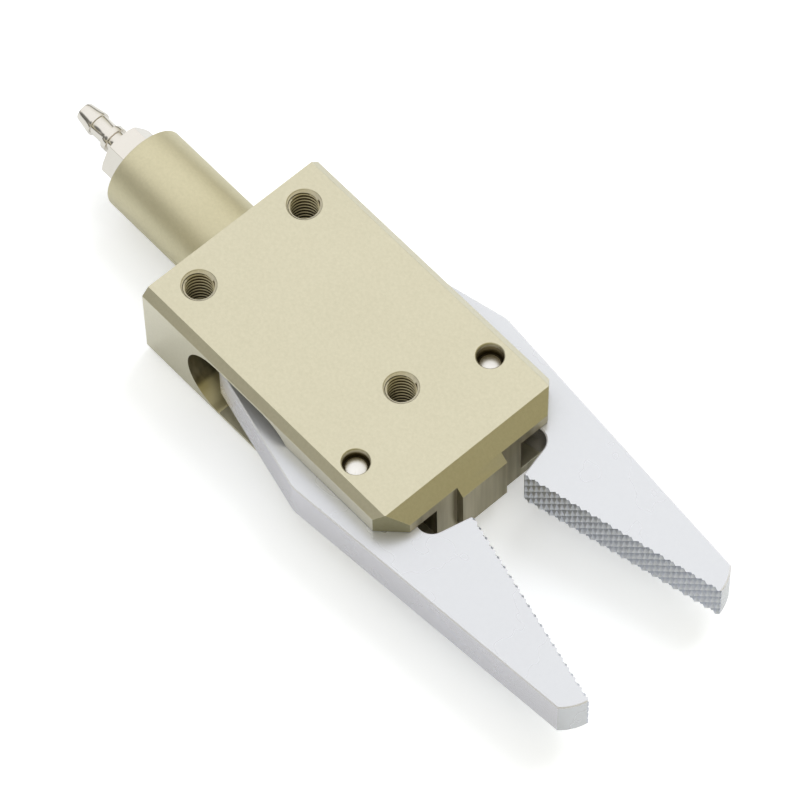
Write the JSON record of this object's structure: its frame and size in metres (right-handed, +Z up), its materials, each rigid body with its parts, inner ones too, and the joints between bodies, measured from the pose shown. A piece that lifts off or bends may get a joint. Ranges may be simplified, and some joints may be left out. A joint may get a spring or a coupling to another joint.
{
  "type": "pneumatic sprue gripper",
  "caption": "Sprue gripper: chamfered aluminium block on a round shank, hose nipple at the rear, and slim plate jaws with diamond-knurled faces, shut by air and opened by springs.",
  "frame": {"origin": "on the shank's axis, at the rear face of the block", "axes": "+X forwards along the shank's axis to the jaw tips, +Y to the left jaw, +Z up, square to the jaws' flat faces; the jaws are open at rest"},
  "size_m": [0.1216, 0.0408, 0.016],
  "materials": {
    "block": "satin",
    "barrel": "satin",
    "nickel": "polished",
    "jaw": "satin",
    "pin": "polished",
    "bronze": "satin",
    "rubber": "matte",
    "seal": "matte",
    "spring": "satin",
    "wedge": "satin",
    "piston": "satin",
    "rod": "polished"
  },
  "bodies": {
    "housing": {"body_block": "block", "barrel": "barrel", "hose_barb": "nickel", "barb_seal": "seal", "end_bumper": "rubber", "rod_guide": "bronze", "spring_seat": "spring", "pivot_pin_left": "pin", "pivot_pin_right": "pin", "return_spring": "spring", "opening_spring": "spring"},
    "left_jaw": {"jaw_left": "jaw", "pivot_bush_left": "bronze"},
    "right_jaw": {"jaw_right": "jaw", "pivot_bush_right": "bronze"},
    "ram": {"piston": "piston", "piston_seal": "rubber", "piston_nut": "spring", "piston_rod": "rod", "wedge": "wedge", "wedge_pin": "pin"}
  },
  "joints": [
    {"name": "jaw_left_pivot", "type": "hinge", "parent": "housing", "child": "left_jaw", "pos_m": [0.0412, 0.0127, 0], "axis": [0, 0, -1], "range_deg": [0, 14.4], "stiffness_Nm_per_rad": 0.25, "springref_deg": -14.32, "deforming": ["opening_spring"]},
    {"name": "jaw_right_pivot", "type": "hinge", "parent": "housing", "child": "right_jaw", "pos_m": [0.0412, -0.0127, 0], "axis": [0, 0, 1], "range_deg": [0, 14.4]},
    {"name": "piston_slide", "type": "slide", "parent": "housing", "child": "ram", "axis": [1, 0, 0], "range_m": [0, 0.006], "deforming": ["return_spring"]}
  ],
  "couplings": [
    {"joint": "jaw_right_pivot", "follows": "jaw_left_pivot", "ratio": 1},
    {"joint": "piston_slide", "follows": "jaw_left_pivot", "m_per_rad": 0.023725}
  ]
}
